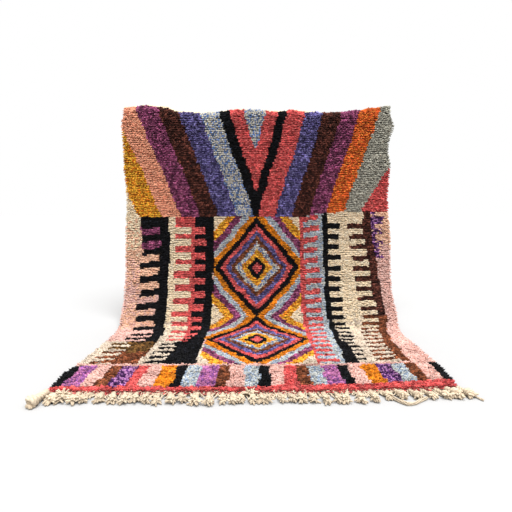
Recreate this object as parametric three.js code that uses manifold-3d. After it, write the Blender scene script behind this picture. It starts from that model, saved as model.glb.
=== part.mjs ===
// A thick hand-knotted wool rug hung over a rod: a short flap behind, the long face in front, which
// sweeps forward at its foot and lies on the floor. The end on the floor has a knotted warp fringe.
// Millimetres, +Z up. The rug's width runs along X, and the end on the floor points along -Y.
// "Forward" below means along -Y, measured from the pile of the hanging face.
import * as THREE from 'three';
import Module from 'manifold-3d';
import { mergeVertices } from 'three/addons/utils/BufferGeometryUtils.js';

const wasm = await Module();
wasm.setup();

// Driving sizes of the cloth
const halfWidth = 750;
const foundationThickness = 6;
const pileTop = 24;
const pileLump = 1.8;
const rugLength = 2500;

// The drape: the rod in the fold, the height of the fold, and the sweep at the foot
const rodRadius = 18;
const crestHeight = 1182;
const footSweep = [
  { radius: 1180, turn: 24, steps: 9 },
  { radius: 374, turn: 26, steps: 4 },
  { radius: 238, turn: 40, steps: 5 },
];
const flapSteps = 8;
const wrapSteps = 8;
const hangSteps = 9;
const floorSteps = 13;
const columns = 26;

// The front end on the floor runs straight, then is turned back towards the right corner
const endForward = 1033;
const endTurnFrom = 100;
const endTurnBack = 42;

// The top line over the rod: the corners perk up and the middle waves a little
const crestLine = [
  { across: -750, rise: 24 },
  { across: -620, rise: 35 },
  { across: -520, rise: 27 },
  { across: -430, rise: 1 },
  { across: -300, rise: -6 },
  { across: -60, rise: 12 },
  { across: 130, rise: 4 },
  { across: 200, rise: 8 },
  { across: 400, rise: -6 },
  { across: 560, rise: 4 },
  { across: 660, rise: 18 },
  { across: 750, rise: 31 },
];

// The hand-woven side edges: how far each lies out, by the distance along from the back end
const sideLine = [
  { along: 0, left: 4, right: 6 },
  { along: 300, left: -4, right: 4 },
  { along: 470, left: -8, right: 0 },
  { along: 535, left: 5, right: 20 },
  { along: 650, left: -2, right: -4 },
  { along: 765, left: 1, right: 12 },
  { along: 920, left: -9, right: 4 },
  { along: 1200, left: 1, right: 23 },
  { along: 1430, left: -8, right: 15 },
  { along: 1600, left: -14, right: 20 },
  { along: 1880, left: -43, right: -20 },
  { along: 2120, left: -34, right: -10 },
  { along: 2250, left: -24, right: -7 },
  { along: 2350, left: -7, right: -8 },
  { along: 2500, left: -13, right: -22 },
];

// Creases left by folding: soft troughs across the pile of the hanging face
const creases = [
  { along: 735, from: -750, to: -330, depth: 5, reach: 34 },
  { along: 860, from: -600, to: 40, depth: 4, reach: 38 },
  { along: 690, from: 240, to: 750, depth: 4, reach: 38 },
  { along: 1120, from: -250, to: 650, depth: 4, reach: 40 },
];

// The rim: the pile leans out over the foundation's edge
const rim = [
  { out: 0, up: 0 },
  { out: 0, up: foundationThickness },
  { out: 8, up: 13 },
  { out: 5, up: 20 },
  { out: -9, up: pileTop },
];
const rimLock = 5;
const topLevel = rim.length - 1;

// The woven end strip and its knotted tassels, in runs as they fell on the floor
const partGap = 0.3;
const stripDepth = 18;
const stripHeight = 5;
const stripWaver = 1.5;
const rootBite = 2;
const crownShare = 0.3;
const strayLean = 3;
const strayReach = 5;
const tasselRuns = [
  { from: -738, to: -738, count: 1, lean: -17, reach: 100 },
  { from: -694, to: -584, count: 4, lean: -9, reach: 78 },
  { from: -540, to: -262, count: 8, lean: 9, reach: 74 },
  { from: -205, to: -167, count: 2, lean: 4, reach: 86 },
  { from: -116, to: 52, count: 6, lean: -4, reach: 74 },
  { from: 84, to: 190, count: 4, lean: 8, reach: 71 },
  { from: 240, to: 406, count: 5, lean: -4, reach: 79 },
  { from: 444, to: 548, count: 3, lean: 22, reach: 66 },
  { from: 598, to: 726, count: 4, lean: 20, reach: 78 },
];

// Sections along a tassel, as shares of its reach: the gathered root, the twist, the knot, its foot
const tasselSections = [
  { share: -0.15, width: 18, height: 4 },
  { share: 0.1, width: 14, height: 9 },
  { share: 0.42, width: 14, height: 12 },
  { share: 0.51, width: 25, height: 20 },
  { share: 0.73, width: 26, height: 21 },
  { share: 0.84, width: 14, height: 12 },
  { share: 1, width: 8, height: 5 },
];

// The two loose tails beside a tassel's foot, three-sided, as shares of its reach
const tailSections = [
  { share: 0.76, width: 9, height: 8 },
  { share: 1.02, width: 6, height: 5 },
];
const tailAside = 5;
const tailSpread = 20;

const degrees = Math.PI / 180;

// A smooth value between two rows of a table
function tableValue(table, key, column, at) {
  if (at <= table[0][key]) return table[0][column];
  for (let row = 1; row < table.length; row += 1) {
    if (at <= table[row][key]) {
      const before = table[row - 1];
      const after = table[row];
      const share = (at - before[key]) / (after[key] - before[key]);
      const eased = share * share * (3 - 2 * share);
      return before[column] + (after[column] - before[column]) * eased;
    }
  }
  return table[table.length - 1][column];
}

// A repeatable uneven value between -1 and 1 for a pair of whole numbers
function unevenness(first, second) {
  const wave = Math.sin(first * 12.9898 + second * 78.233) * 43758.5453;
  return 2 * (wave - Math.floor(wave)) - 1;
}

// The front end's distance forward at a place across the width
function endLine(across) {
  const share = Math.max(0, (across - endTurnFrom) / (halfWidth - endTurnFrom));
  return endForward - endTurnBack * share ** 1.5;
}

// A column's place across the width, between the two uneven side edges
function columnPlace(column, along) {
  const left = -halfWidth - tableValue(sideLine, 'along', 'left', along);
  const right = halfWidth + tableValue(sideLine, 'along', 'right', along);
  return left + (column / columns) * (right - left);
}

// How far the sweep at the foot falls, and how far forward it ends
const sweep = { angle: 0, fall: 0, forward: -pileTop, length: 0 };
for (const bend of footSweep) {
  const end = sweep.angle + bend.turn * degrees;
  sweep.fall += bend.radius * (Math.sin(end) - Math.sin(sweep.angle));
  sweep.forward += bend.radius * (Math.cos(sweep.angle) - Math.cos(end));
  sweep.length += bend.radius * bend.turn * degrees;
  sweep.angle = end;
}
const wrapLength = Math.PI * rodRadius;
const floorLength = endForward - sweep.forward;

// The route of the underside at one place across the width, from the back end to the front end.
// It walks over straight and round stretches, and gives each station's place, heading and distance.
function drapeRoute(across) {
  const rodHeight = crestHeight - pileTop - rodRadius + tableValue(crestLine, 'across', 'rise', across);
  const hangLength = rodHeight - sweep.fall;
  const flapLength = rugLength - floorLength - sweep.length - hangLength - wrapLength;
  const stretches = [
    { length: flapLength, turn: 0, steps: flapSteps },
    { length: wrapLength, turn: -180, steps: wrapSteps },
    { length: hangLength, turn: 0, steps: hangSteps },
    ...footSweep.map(({ radius, turn, steps }) => ({ length: radius * turn * degrees, turn, steps })),
    { length: endLine(across) - sweep.forward, turn: 0, steps: floorSteps },
  ];
  const stations = [];
  let heading = 90 * degrees;
  let forward = -pileTop - 2 * rodRadius;
  let height = rodHeight - flapLength;
  let along = 0;
  stations.push({ forward, height, heading, along });
  for (const stretch of stretches) {
    const stepLength = stretch.length / stretch.steps;
    const stepTurn = (stretch.turn / stretch.steps) * degrees;
    const half = stepTurn / 2;
    const chord = stepTurn === 0 ? stepLength : (stepLength * Math.sin(half)) / half;
    for (let step = 0; step < stretch.steps; step += 1) {
      forward += chord * Math.cos(heading + half);
      height += chord * Math.sin(heading + half);
      heading += stepTurn;
      along += stepLength;
      stations.push({ forward, height, heading, along });
    }
  }
  return stations;
}

// The rug as one closed lumpy slab: a grid over the cloth, on its underside and on its pile, joined
// by the rim all round. A vertex is named by its column, its station and its level in the rim.
function rugGeometry() {
  const routes = [];
  for (let column = 0; column <= columns; column += 1) {
    routes.push(drapeRoute(-halfWidth + (2 * halfWidth * column) / columns));
  }
  const lastStation = routes[0].length - 1;
  const positions = [];
  const numbers = new Map();

  function vertex(column, station, level) {
    const name = `${column} ${station} ${level}`;
    if (numbers.has(name)) return numbers.get(name);
    const place = routes[column][station];
    const atLeft = column === 0;
    const atRight = column === columns;
    const atBack = station === 0;
    const atFront = station === lastStation;
    const onRim = atLeft || atRight || atBack || atFront;
    let across = columnPlace(column, place.along);
    let up = rim[level].up;
    let out = 0;
    if (onRim) {
      const isLock = level > 1 && level < topLevel;
      out = rim[level].out + (isLock ? rimLock * unevenness(column + station, level) : 0);
    } else if (level === topLevel) {
      up += pileLump * unevenness(column, station);
    }
    across += out * ((atRight ? 1 : 0) - (atLeft ? 1 : 0));
    for (const crease of creases) {
      const inside = across > crease.from && across < crease.to;
      const off = (place.along - crease.along) / crease.reach;
      if (inside && level === topLevel) up -= crease.depth * Math.exp(-off * off);
    }
    const endOut = out * ((atFront ? 1 : 0) - (atBack ? 1 : 0));
    const forward = place.forward + endOut * Math.cos(place.heading) - up * Math.sin(place.heading);
    const height = place.height + endOut * Math.sin(place.heading) + up * Math.cos(place.heading);
    const number = positions.length / 3;
    positions.push(across, -forward, height);
    numbers.set(name, number);
    return number;
  }

  const faces = [];
  function quad(a, b, c, d) {
    faces.push(a, b, c, a, c, d);
  }
  for (let column = 0; column < columns; column += 1) {
    for (let station = 0; station < lastStation; station += 1) {
      for (const level of [0, topLevel]) {
        const corners = [
          vertex(column, station, level),
          vertex(column, station + 1, level),
          vertex(column + 1, station + 1, level),
          vertex(column + 1, station, level),
        ];
        if (level === 0) corners.reverse();
        quad(...corners);
      }
    }
  }
  const edge = [];
  for (let column = 0; column < columns; column += 1) edge.push([column, 0]);
  for (let station = 0; station < lastStation; station += 1) edge.push([columns, station]);
  for (let column = columns; column > 0; column -= 1) edge.push([column, lastStation]);
  for (let station = lastStation; station > 0; station -= 1) edge.push([0, station]);
  edge.forEach((here, index) => {
    const next = edge[(index + 1) % edge.length];
    for (let level = 0; level < topLevel; level += 1) {
      quad(
        vertex(here[0], here[1], level),
        vertex(here[0], here[1], level + 1),
        vertex(next[0], next[1], level + 1),
        vertex(next[0], next[1], level),
      );
    }
  });
  const geometry = new THREE.BufferGeometry();
  geometry.setAttribute('position', new THREE.Float32BufferAttribute(positions, 3));
  geometry.setIndex(faces);
  return geometry;
}

// A closed solid through rings of three or four points each, with both ends capped
function loft(rings) {
  const sides = rings[0].length;
  const positions = rings.flat(2);
  const faces = [];
  for (let ring = 0; ring < rings.length - 1; ring += 1) {
    for (let side = 0; side < sides; side += 1) {
      const a = ring * sides + side;
      const b = ring * sides + ((side + 1) % sides);
      faces.push(a, b, a + sides, b, b + sides, a + sides);
    }
  }
  const last = (rings.length - 1) * sides;
  for (let side = 1; side < sides - 1; side += 1) {
    faces.push(0, side + 1, side, last, last + side, last + side + 1);
  }
  const geometry = new THREE.BufferGeometry();
  geometry.setAttribute('position', new THREE.Float32BufferAttribute(positions, 3));
  geometry.setIndex(faces);
  return geometry;
}

// The flat woven strip in front of the rug's end, cut to the same columns as the rug
function stripGeometry() {
  const rings = [];
  for (let column = 0; column <= columns; column += 1) {
    const end = endLine(-halfWidth + (2 * halfWidth * column) / columns);
    const across = columnPlace(column, rugLength - (endForward - end));
    const rear = end + partGap;
    const front = rear + stripDepth + stripWaver * unevenness(column, columns);
    rings.push([
      [across, -front, 0],
      [across, -rear, 0],
      [across, -rear, stripHeight],
      [across, -front, stripHeight - 1],
    ]);
  }
  return loft(rings);
}

// One lock of warp on the floor, its foot flat on it, leaning to one side: four-sided with a crown
// of the given share of its width, or three-sided where that share is nothing
function lockGeometry(sections, root, lean, reach, crownPart) {
  const direction = [Math.sin(lean * degrees), -Math.cos(lean * degrees)];
  const aside = [-direction[1], direction[0]];
  const rings = sections.map((section) => {
    const run = section.share * reach;
    const centre = [root[0] + direction[0] * run, root[1] + direction[1] * run];
    const foot = section.width / 2;
    const crown = section.width * crownPart;
    const ring = [
      [centre[0] - aside[0] * foot, centre[1] - aside[1] * foot, 0],
      [centre[0] + aside[0] * foot, centre[1] + aside[1] * foot, 0],
      [centre[0] + aside[0] * crown, centre[1] + aside[1] * crown, section.height],
    ];
    if (crown > 0) ring.push([centre[0] - aside[0] * crown, centre[1] - aside[1] * crown, section.height]);
    return ring;
  });
  return loft(rings);
}

function toManifold(geometry) {
  const welded = mergeVertices(geometry);
  return new wasm.Manifold(new wasm.Mesh({
    numProp: 3,
    vertProperties: new Float32Array(welded.attributes.position.array),
    triVerts: new Uint32Array(welded.index.array),
  }));
}

function fromManifold(manifold) {
  const mesh = manifold.getMesh();
  const geometry = new THREE.BufferGeometry();
  geometry.setAttribute('position', new THREE.Float32BufferAttribute(mesh.vertProperties, 3));
  geometry.setIndex(Array.from(mesh.triVerts));
  return geometry;
}

// The end strip with its tassels: each is a gathered, twisted and knotted lock, with loose tails
function fringeGeometry() {
  let fringe = toManifold(stripGeometry());
  tasselRuns.forEach((run, runNumber) => {
    for (let tassel = 0; tassel < run.count; tassel += 1) {
      const share = run.count > 1 ? tassel / (run.count - 1) : 0;
      const across = run.from + (run.to - run.from) * share;
      const lean = run.lean + strayLean * unevenness(tassel, runNumber);
      const reach = run.reach + strayReach * unevenness(runNumber, tassel + run.count);
      const root = [across, -(endLine(across) + partGap + stripDepth - rootBite)];
      fringe = fringe.add(toManifold(lockGeometry(tasselSections, root, lean, reach, crownShare)));
      for (const side of [-1, 1]) {
        const tailLean = lean + side * tailSpread;
        const toKnot = tailSections[0].share * reach;
        const shift = [
          Math.sin(lean * degrees) - Math.sin(tailLean * degrees),
          Math.cos(lean * degrees) - Math.cos(tailLean * degrees),
        ];
        const start = [root[0] + shift[0] * toKnot + side * tailAside, root[1] - shift[1] * toKnot];
        fringe = fringe.add(toManifold(lockGeometry(tailSections, start, tailLean, reach, 0)));
      }
    }
  });
  return fromManifold(fringe);
}

const woolPile = new THREE.MeshStandardMaterial({ color: 0xa65a52, roughness: 0.95, metalness: 0 });
const creamWarp = new THREE.MeshStandardMaterial({ color: 0xe2d3b6, roughness: 0.9, metalness: 0 });

const rug = new THREE.Mesh(rugGeometry(), woolPile);
rug.name = 'rug';
const endFringe = new THREE.Mesh(fringeGeometry(), creamWarp);
endFringe.name = 'end_fringe';

// The origin lies on the floor, under the middle of the whole
const group = new THREE.Group();
group.add(rug, endFringe);
const box = new THREE.Box3().setFromObject(group);
const middle = box.getCenter(new THREE.Vector3());
group.position.set(-middle.x, -middle.y, 0);

export default group;
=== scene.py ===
# %% [markdown]
# This is a thick hand-knotted wool rug, hung over a rod and swept out over the floor. The scene
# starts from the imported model, which fixes every size and place. Blender only dresses it: a woven
# foundation, a pile of separate yarn ends, and a knotted warp fringe.

# %% Load the frame
import math

import bpy
import numpy as np
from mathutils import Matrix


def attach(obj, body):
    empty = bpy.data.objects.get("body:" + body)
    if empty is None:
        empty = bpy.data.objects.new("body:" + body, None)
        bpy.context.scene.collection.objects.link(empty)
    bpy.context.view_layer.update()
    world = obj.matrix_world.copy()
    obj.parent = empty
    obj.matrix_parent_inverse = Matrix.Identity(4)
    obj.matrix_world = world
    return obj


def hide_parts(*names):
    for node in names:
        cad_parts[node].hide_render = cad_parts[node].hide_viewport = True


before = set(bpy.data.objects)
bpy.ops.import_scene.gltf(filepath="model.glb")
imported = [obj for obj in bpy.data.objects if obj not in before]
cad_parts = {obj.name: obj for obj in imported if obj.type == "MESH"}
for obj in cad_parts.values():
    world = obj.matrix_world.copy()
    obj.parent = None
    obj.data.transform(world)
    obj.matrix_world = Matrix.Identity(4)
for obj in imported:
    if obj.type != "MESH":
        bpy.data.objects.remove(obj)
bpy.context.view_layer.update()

# %% [markdown]
# The cloth lies on one curved path: up the short flap behind, round the rod, down the long face,
# out over three bends and along the floor. A simulation would drape it a little differently each
# time its settings change, and the cloth has to stay exactly where the solid is. So the same path
# is written as a formula, in metres, and every later piece is laid on it.

# %% Sizes of the cloth and its drape
HALF_WIDTH = 0.75
RUG_LENGTH = 2.5
PILE_TOP = 0.024
ROD_RADIUS = 0.018
CREST_HEIGHT = 1.182
# The bends at the foot, from the top down: radius, and degrees
FOOT_SWEEP = [(1.180, 24), (0.374, 26), (0.238, 40)]
END_FORWARD = 1.033
END_TURN_FROM = 0.1
END_TURN_BACK = 0.042
# The place on the floor under the middle of the hanging face, in the part's own frame
FLOOR_MARK = (0.001179, 0.528919, 0.0)

# The top line over the rod: place across the width, and rise
CREST_LINE = [
    (-0.750, 0.024), (-0.620, 0.035), (-0.520, 0.027), (-0.430, 0.001), (-0.300, -0.006),
    (-0.060, 0.012), (0.130, 0.004), (0.200, 0.008), (0.400, -0.006), (0.560, 0.004),
    (0.660, 0.018), (0.750, 0.031),
]

# The hand-woven side edges: distance from the back end, and how far the left and right lie out
SIDE_LINE = [
    (0.000, 0.004, 0.006), (0.300, -0.004, 0.004), (0.470, -0.008, 0.000), (0.535, 0.005, 0.020),
    (0.650, -0.002, -0.004), (0.765, 0.001, 0.012), (0.920, -0.009, 0.004), (1.200, 0.001, 0.023),
    (1.430, -0.008, 0.015), (1.600, -0.014, 0.020), (1.880, -0.043, -0.020),
    (2.120, -0.034, -0.010), (2.250, -0.024, -0.007), (2.350, -0.007, -0.008),
    (2.500, -0.013, -0.022),
]

# Creases left by folding: distance from the back end, from and to across, depth, reach
CREASES = [
    (0.735, -0.750, -0.330, 0.005, 0.034),
    (0.860, -0.600, 0.040, 0.004, 0.038),
    (0.690, 0.240, 0.750, 0.004, 0.038),
    (1.120, -0.250, 0.650, 0.004, 0.040),
]

# %% Repeatable unevenness of hand work
def scatter(first, second, seed):
    """Uneven values from 0 to 1 for pairs of whole numbers."""
    wave = np.sin(first * 12.9898 + second * 78.233 + seed * 37.719) * 43758.5453
    return wave - np.floor(wave)


def chance(first, second, seed):
    """One uneven value from 0 to 1."""
    return float(scatter(np.float64(first), np.float64(second), seed))


def stray(first, second, seed):
    """Uneven values from -0.5 to 0.5 for pairs of whole numbers."""
    return scatter(first, second, seed) - 0.5


def swing(first, second, seed):
    """One uneven value from -1 to 1."""
    return 2 * chance(first, second, seed) - 1


def ease(share):
    return share * share * (3 - 2 * share)


def drift(first, second, seed):
    """A slow smooth change from -1 to 1 over a plane."""
    corner_a, corner_b = np.floor(first), np.floor(second)
    share_a, share_b = ease(first - corner_a), ease(second - corner_b)
    near, far = [
        scatter(corner_a, corner_b + step, seed) * (1 - share_a)
        + scatter(corner_a + 1, corner_b + step, seed) * share_a
        for step in (0, 1)
    ]
    return 2 * (near * (1 - share_b) + far * share_b) - 1


def from_table(table, at, column=1):
    """A smooth value between the rows of a table."""
    rows = np.array(table)
    places = rows[:, 0]
    values = rows[:, column]
    after = np.clip(np.searchsorted(places, at), 1, len(places) - 1)
    share = np.clip((at - places[after - 1]) / (places[after] - places[after - 1]), 0, 1)
    return values[after - 1] + (values[after] - values[after - 1]) * ease(share)


print("unevenness of the first three knots", scatter(np.arange(3), 0, 1).round(3))

# %% The path of the cloth's underside
wrap_length = math.pi * ROD_RADIUS
sweep_fall = 0.0
sweep_forward = -PILE_TOP
sweep_length = 0.0
# Radius, angle at the start, and turn of each bend
bends = []
angle = 0.0
for radius, degrees in FOOT_SWEEP:
    bend = math.radians(degrees)
    bends.append((radius, angle, bend))
    sweep_fall += radius * (math.sin(angle + bend) - math.sin(angle))
    sweep_forward += radius * (math.cos(angle) - math.cos(angle + bend))
    sweep_length += radius * bend
    angle += bend
floor_length = END_FORWARD - sweep_forward


def end_setback(across):
    """How far the front end is turned back towards the right corner."""
    share = np.maximum(0, (across - END_TURN_FROM) / (HALF_WIDTH - END_TURN_FROM))
    return END_TURN_BACK * share ** 1.5


def rod_height(across):
    return CREST_HEIGHT - PILE_TOP - ROD_RADIUS + from_table(CREST_LINE, across)


def flap_length(across):
    return RUG_LENGTH - floor_length - sweep_length - (rod_height(across) - sweep_fall) - wrap_length


def drape(across, along):
    """Forward place, height and heading of the underside, by the distance from the back end."""
    flap = flap_length(across)
    hang = rod_height(across) - sweep_fall
    turn = np.clip((along - flap) / ROD_RADIUS, 0, math.pi)
    forward = -PILE_TOP - ROD_RADIUS - ROD_RADIUS * np.cos(turn)
    height = rod_height(across) - flap + np.minimum(along, flap) + ROD_RADIUS * np.sin(turn)
    heading = math.pi / 2 - turn
    height = height - np.clip(along - flap - wrap_length, 0, hang)
    start = flap + wrap_length + hang
    for radius, angle, bend in bends:
        turn = np.clip((along - start) / radius, 0, bend)
        forward = forward + radius * (math.cos(angle) - np.cos(angle + turn))
        height = height - radius * (np.sin(angle + turn) - math.sin(angle))
        heading = heading + turn
        start = start + radius * bend
    forward = forward + np.maximum(along - start, 0)
    return forward, height, heading


print("flap behind the rod %.3f m, length on the floor %.3f m" % (flap_length(0.0), floor_length))

# %% From the flat cloth to its place
TURN_FADES_OVER = 1.2


def straight_across(share):
    """The place across, as if the side edges were straight."""
    return HALF_WIDTH * (2 * share - 1)


def distance_along(across, front):
    """Distance from the back end, from the distance to the front end along the rows."""
    fade = ease(np.clip(1 - front / TURN_FADES_OVER, 0, 1))
    return RUG_LENGTH - front - end_setback(across) * fade


def place_across(share, along):
    """The place between the uneven side edges, in metres from the middle."""
    left = -HALF_WIDTH - from_table(SIDE_LINE, along)
    right = HALF_WIDTH + from_table(SIDE_LINE, along, 2)
    return left + share * (right - left)


def lay_on_cloth(share, front, up):
    """Points above the cloth's underside, with the directions away from it and along it."""
    across = straight_across(share)
    along = distance_along(across, front)
    forward, height, heading = drape(across, along)
    place = place_across(share, along)
    away = np.stack([0 * heading, np.sin(heading), np.cos(heading)], axis=-1)
    ahead = np.stack([0 * heading, -np.cos(heading), np.sin(heading)], axis=-1)
    points = np.stack([place, -forward, height], axis=-1) + np.array(FLOOR_MARK)
    return points + away * np.asarray(up)[..., None], away, ahead, along


corner = lay_on_cloth(np.array([0.0, 1.0]), np.zeros(2), 0.0)[0]
print("front corners of the underside", corner.round(3).tolist())

# %% [markdown]
# The weaver changes yarn from knot to knot, so a rug's design is a chart of knots, as on squared
# paper. It could be painted by a shader on one smooth surface, but then every colour edge would be
# a razor line. Here the chart is a set of plain rules for stripes, combs and lozenges, and each knot
# asks it for one yarn. Colour edges then step and waver by whole knots, as hand work does.

# %% The dyed yarns
# Name, main tone, fleck tone, share of flecks
YARNS = [
    ("salmon", "F0A989", "D98B6E", 0.25),
    ("rose", "F2C5A8", "E2AC8E", 0.30),
    ("pink", "E3B9AE", "D6A497", 0.25),
    ("cream", "F0DAB8", "F4E6CC", 0.30),
    # A darker copy of the cream for the part on the floor: painted shade against its stronger light
    ("shaded_cream", "D3C2AF", "DECFBC", 0.30),
    ("coral", "CD5453", "DB6B67", 0.30),
    ("plum", "793A5B", "955170", 0.30),
    ("violet", "B4709C", "84508E", 0.35),
    ("grape", "4C285C", "B27CAE", 0.38),
    ("dark_brown", "502B23", "3C1F18", 0.30),
    ("brown", "6F3D25", "7F4B32", 0.30),
    ("tobacco", "664824", "54391C", 0.35),
    ("black", "07070A", "0E0F14", 0.25),
    ("periwinkle", "544C7B", "716B9C", 0.35),
    ("sky", "C0C2BE", "97A5B8", 0.40),
    ("speckled", "C8C4B8", "6680B0", 0.40),
    ("grey", "9C9A8E", "B7B4A5", 0.35),
    ("orange", "D35F2B", "E38437", 0.30),
    ("amber", "D27A16", "E28E26", 0.30),
    ("mustard", "E8AE38", "CC741E", 0.34),
]
yarn_number = {name: number for number, (name, _, _, _) in enumerate(YARNS)}


def dye(code):
    """A tone as a dyer's code, turned into the light it gives back."""
    parts = np.array([int(code[start:start + 2], 16) / 255 for start in (0, 2, 4)])
    return np.where(parts <= 0.04045, parts / 12.92, ((parts + 0.055) / 1.055) ** 2.4)


main_tones = np.array([dye(main) for _, main, _, _ in YARNS])
fleck_tones = np.array([dye(fleck) for _, _, fleck, _ in YARNS])
fleck_shares = np.array([share for _, _, _, share in YARNS])
print(len(YARNS), "yarns")

# %% Rules that all parts of the chart use
# Distances from the front end
BLOCKS_TOP = 0.225
MIDDLE_FROM = 0.24
CHEVRON_FROM = 1.4525

# A comb's teeth: half their width by the rows from one to the next, and how uneven they are
HALF_TOOTH = 0.24
WIDTH_STRAY = 0.05
LENGTH_STRAY = 0.16
TOOTH_STRAY = 0.08


def between(value, low, high):
    return (value >= low) & (value < high)


def work(chart, knots, yarn):
    """Work these knots of the chart in one yarn."""
    chart[knots] = yarn_number[yarn]


def work_bands(chart, knots, spread, bands):
    """Bands of yarn side by side, each from its own place on."""
    for start, yarn in bands:
        work(chart, knots & (spread >= start), yarn)


def comb_tooth(across, front, root, tip, pitch, middle, seed, climb=0.0):
    """True on the teeth of a comb, from its root to their tips. One tooth has its middle at a row."""
    place = (front - middle - climb * (across - root)) / pitch
    tooth = np.round(place)
    place = place + TOOTH_STRAY * stray(tooth, seed, 8)
    reach = (across - root) / (tip - root)
    length = 1 + LENGTH_STRAY * stray(tooth, seed, 6)
    opening = HALF_TOOTH + WIDTH_STRAY * stray(tooth, seed, 7)
    return (np.abs(place - tooth) < opening) & (reach > 0) & (reach < length)


print("the middle field is %.2f m long" % (CHEVRON_FROM - MIDDLE_FROM))

# %% The top field of chevron stripes
STRIPE_FAN = 0.13
LEFT_LEAN = 0.34
RIGHT_LEAN = 0.285
LEFT_STRIPES = [
    (-0.12, "coral"), (-0.045, "black"), (0.012, "speckled"), (0.11, "periwinkle"), (0.217, "dark_brown"),
    (0.32, "plum"), (0.433, "salmon"), (0.546, "mustard"), (0.679, "cream"),
]
RIGHT_STRIPES = [
    (-0.105, "coral"), (-0.036, "black"), (0.012, "coral"), (0.109, "periwinkle"), (0.207, "dark_brown"),
    (0.308, "plum"), (0.4035, "orange"), (0.506, "grey"),
]
CORNER_FROM = 0.600
CORNER_LEAN = 0.63
BEYOND_ROD = -0.003
PALE_ROWS = 0.035


def chart_chevrons(chart, across, front):
    """Leaning stripes on both sides of a small triangle. They stop just behind the rod."""
    rise = front - CHEVRON_FROM
    crest = RUG_LENGTH - flap_length(across) - wrap_length / 2
    stop = crest + BEYOND_ROD + 0.008 * drift(across / 0.1, 0, 13)
    inside = (rise >= 0) & (front < stop)
    waver = 0.006 * drift(front / 0.09, across / 0.5, 11) + 0.005 * drift(front / 0.03, across / 0.2, 12)
    work(chart, inside, "speckled")
    halves = ((LEFT_STRIPES, across < 0, LEFT_LEAN), (RIGHT_STRIPES, across >= 0, RIGHT_LEAN))
    for stripes, side, lean in halves:
        spread = (np.abs(across) - lean * rise) / (1 + STRIPE_FAN * rise) + waver
        work_bands(chart, inside & side, spread, stripes)
    work(chart, inside & (across > CORNER_FROM + CORNER_LEAN * rise), "coral")
    work(chart, between(front - stop, 0, PALE_ROWS), "cream")


# %% The middle field: two stacked lozenges
LOZENGE_MIDDLE = 0.0045
LOZENGE_HALF_WIDTH = 0.2475
LOZENGE_HALF_HEIGHT = 0.3035
# Each band starts at this share of the lozenge. From 1 on, it lies in the corners round it.
LOZENGE_BANDS = [
    (0.00, "coral"), (0.14, "black"), (0.25, "mustard"), (0.38, "speckled"), (0.50, "brown"),
    (0.61, "periwinkle"), (0.74, "coral"), (0.86, "black"), (1.0, "amber"), (1.16, "sky"),
    (1.32, "plum"), (1.5, "mustard"), (1.72, "cream"),
]


def chart_lozenges(chart, across, front):
    aside = np.abs(across - LOZENGE_MIDDLE)
    inside = (aside < LOZENGE_HALF_WIDTH) & between(front, MIDDLE_FROM, CHEVRON_FROM)
    number = np.floor((front - MIDDLE_FROM) / (2 * LOZENGE_HALF_HEIGHT))
    middle = MIDDLE_FROM + (2 * number + 1) * LOZENGE_HALF_HEIGHT
    waver = 0.035 * drift(front / 0.06, across / 0.06, 21)
    spread = aside / LOZENGE_HALF_WIDTH + np.abs(front - middle) / LOZENGE_HALF_HEIGHT + waver
    work_bands(chart, inside, spread, LOZENGE_BANDS)


print("lozenges", round((CHEVRON_FROM - MIDDLE_FROM) / (2 * LOZENGE_HALF_HEIGHT)), "down the middle")


# %% The middle field: combs at the sides
# Distances from the front end at which the combs change
LOW_TO = 0.515
THIN_TO = 0.61
DARK_FROM = 0.84
ROSE_GAPS_FROM = 1.02
PLUM_GAPS_FROM = 1.26
TOBACCO_FROM = 0.39

# Where the combs wander, by the distance from the front end: how far out the outer right column
# lies, how far in the left one lies, and how far its rows creep
COLUMN_OUT = [(0.24, -0.006), (0.45, -0.008), (0.62, 0.004), (0.85, 0.046), (1.12, 0.030), (1.40, 0.0)]
COLUMN_IN = [(0.24, 0.012), (0.42, 0.030), (0.62, 0.034), (0.85, 0.004), (1.10, 0.0)]
ROW_CREEP = [(0.50, 0.02), (0.57, 0.06), (0.635, 0.08), (0.755, 0.04), (0.85, 0.02), (1.10, 0.0)]

# Places across: the outer comb's tips and back, the inner comb's tips, and the lozenges' edge
LEFT_TIPS = -0.661
LEFT_SPINE = -0.5
INNER_TIPS = -0.466
LOZENGE_EDGE = -0.243
LOW_PITCH = 0.055
LOW_TOOTH = 0.486


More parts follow.
